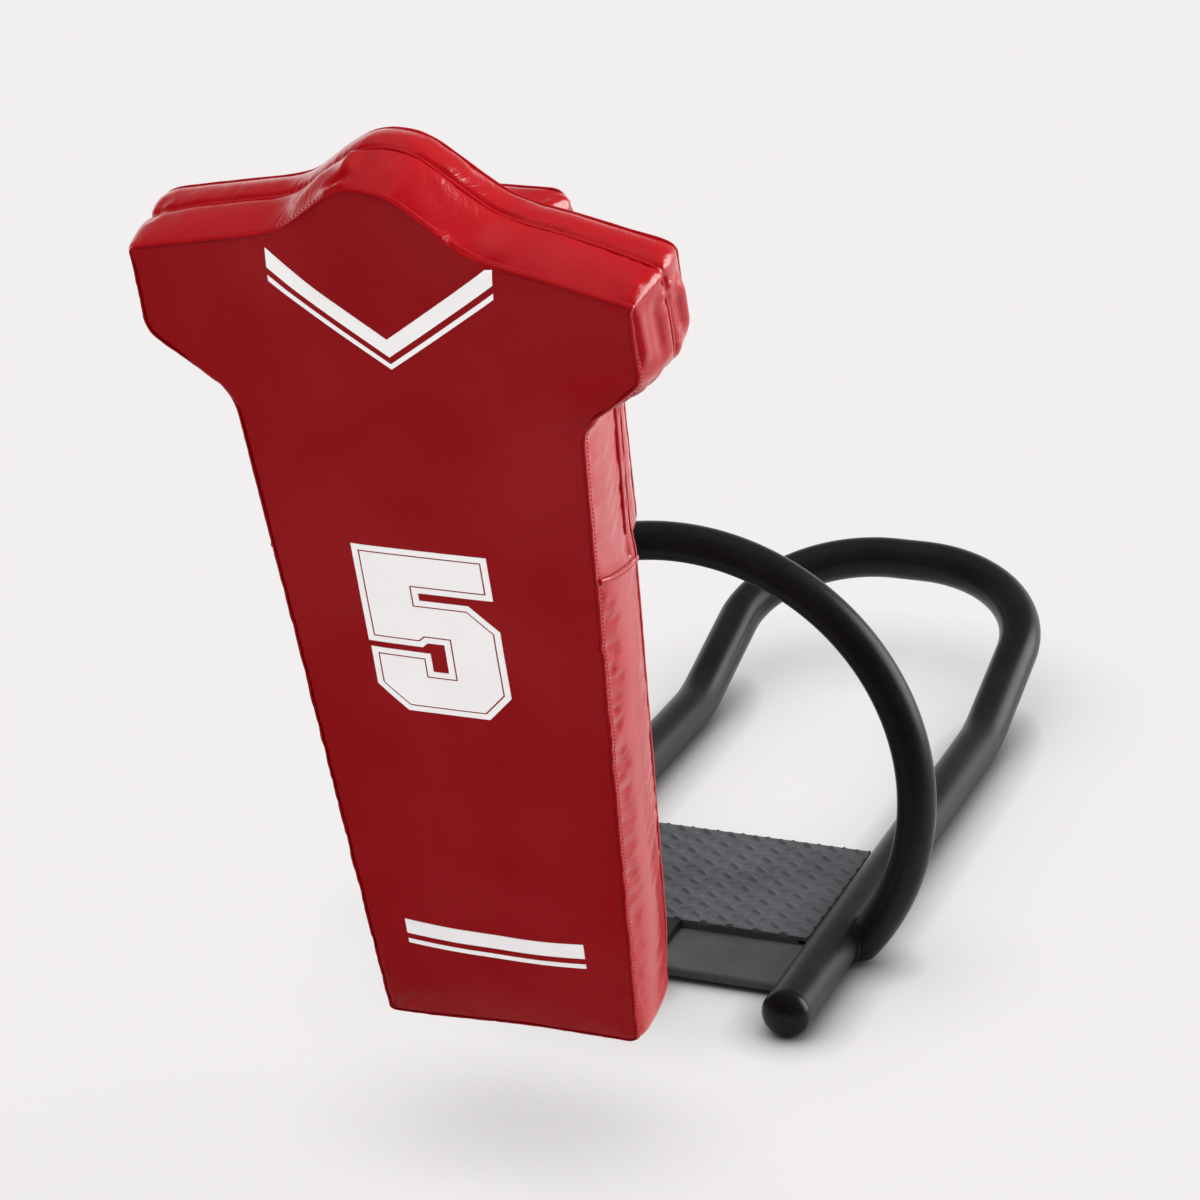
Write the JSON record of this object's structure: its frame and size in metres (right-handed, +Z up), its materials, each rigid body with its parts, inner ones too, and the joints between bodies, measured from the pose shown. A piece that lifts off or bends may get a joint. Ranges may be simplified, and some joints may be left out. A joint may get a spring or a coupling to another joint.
{
  "type": "pop-up tackle dummy",
  "caption": "Padded T-shaped tackling target on a hinged mast that swings back and returns, on a bent-tube base with roll hoop, tread plate and raised rear loop.",
  "frame": {"origin": "on the floor, below the middle of the whole object's length and width", "axes": "+X across the base, -Y towards the player who hits the pad, +Y towards the rear loop, +Z up"},
  "size_m": [0.6642, 1.916, 1.2083],
  "materials": {
    "red_vinyl": "glossy vinyl-coated fabric over foam",
    "black_steel": "black powder coat",
    "tread_steel": "black powder coat on raised tread plate",
    "plate_steel": "black powder coat on plain plate",
    "black_plastic": "glossy moulded",
    "black_rubber": "matt moulded rubber",
    "bronze": "plain bearing bronze",
    "white_nylon": "matt nylon",
    "zinc": "zinc plated",
    "plywood": "plain plywood"
  },
  "bodies": {
    "base": {"base_tube": "black_steel", "roll_hoop": "black_steel", "end_cap_left": "black_plastic", "end_cap_right": "black_plastic", "tread_plate": "tread_steel", "front_plate": "plate_steel", "step_bar": "plate_steel", "side_angle_left": "plate_steel", "side_angle_right": "plate_steel", "cross_angle_middle": "plate_steel", "cross_angle_rear": "plate_steel", "pivot_lug": "black_steel", "stop_plate": "black_steel", "rest_bumper": "black_rubber", "lug_bush": "bronze"},
    "mast": {"mast": "black_steel", "mast_cap": "black_plastic", "hoop_bumper": "black_rubber", "pivot_bolt": "zinc", "pivot_nut": "zinc", "head_washer": "zinc", "nut_washer": "zinc", "thrust_washer_left": "white_nylon", "thrust_washer_right": "white_nylon"},
    "pad": {"pad_front_layer": "red_vinyl", "pad_rear_layer": "red_vinyl", "backing_board": "plywood", "back_block": "red_vinyl"}
  },
  "joints": [
    {"name": "mast_swing", "type": "hinge", "parent": "base", "child": "mast", "pos_m": [0, -0.25728, 0.068], "axis": [-1, 0, 0], "range_deg": [0, 52.4]},
    {"name": "pad_lift", "type": "slide", "parent": "mast", "child": "pad", "axis": [0, -0.2756, 0.9613], "range_m": [0, 0.4]}
  ]
}
